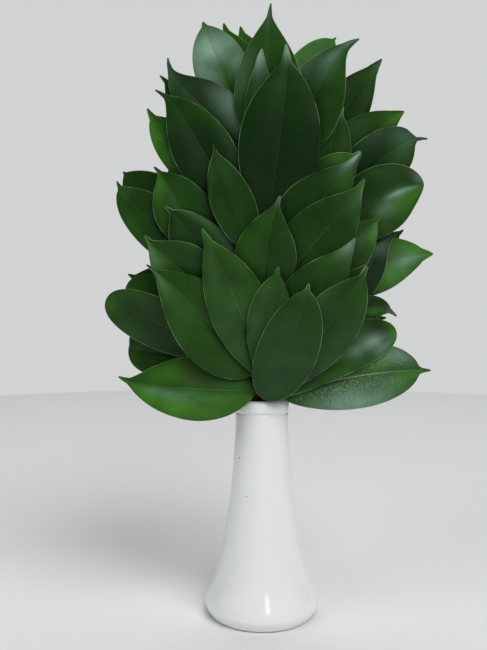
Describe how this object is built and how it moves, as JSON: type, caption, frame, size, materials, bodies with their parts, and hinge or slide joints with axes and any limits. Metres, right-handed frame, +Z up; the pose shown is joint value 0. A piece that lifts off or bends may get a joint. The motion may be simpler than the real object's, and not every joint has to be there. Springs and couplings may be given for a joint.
{
  "type": "sakaki branch arrangement in a vase",
  "caption": "Leafy evergreen sakaki twigs fanned out to face the front, standing in water in a slim white porcelain vase; an offering or altar decoration.",
  "frame": {"origin": "middle of the flat underside of the vase's foot", "axes": "+Z up along the vase's axis, -Y towards the side that the leaves face, +X to the right as seen from there"},
  "size_m": [0.2048, 0.0716, 0.3813],
  "materials": {
    "porcelain": "gloss",
    "water": "gloss",
    "foliage": "satin"
  },
  "bodies": {
    "root": {"vase": "porcelain", "water": "water", "sprig_front": "foliage", "sprig_middle": "foliage", "sprig_side_left": "foliage", "sprig_side_right": "foliage", "sprig_centre": "foliage", "sprig_left": "foliage", "sprig_right": "foliage", "sprig_back": "foliage", "sprig_back_left": "foliage", "sprig_back_right": "foliage"}
  },
  "joints": []
}
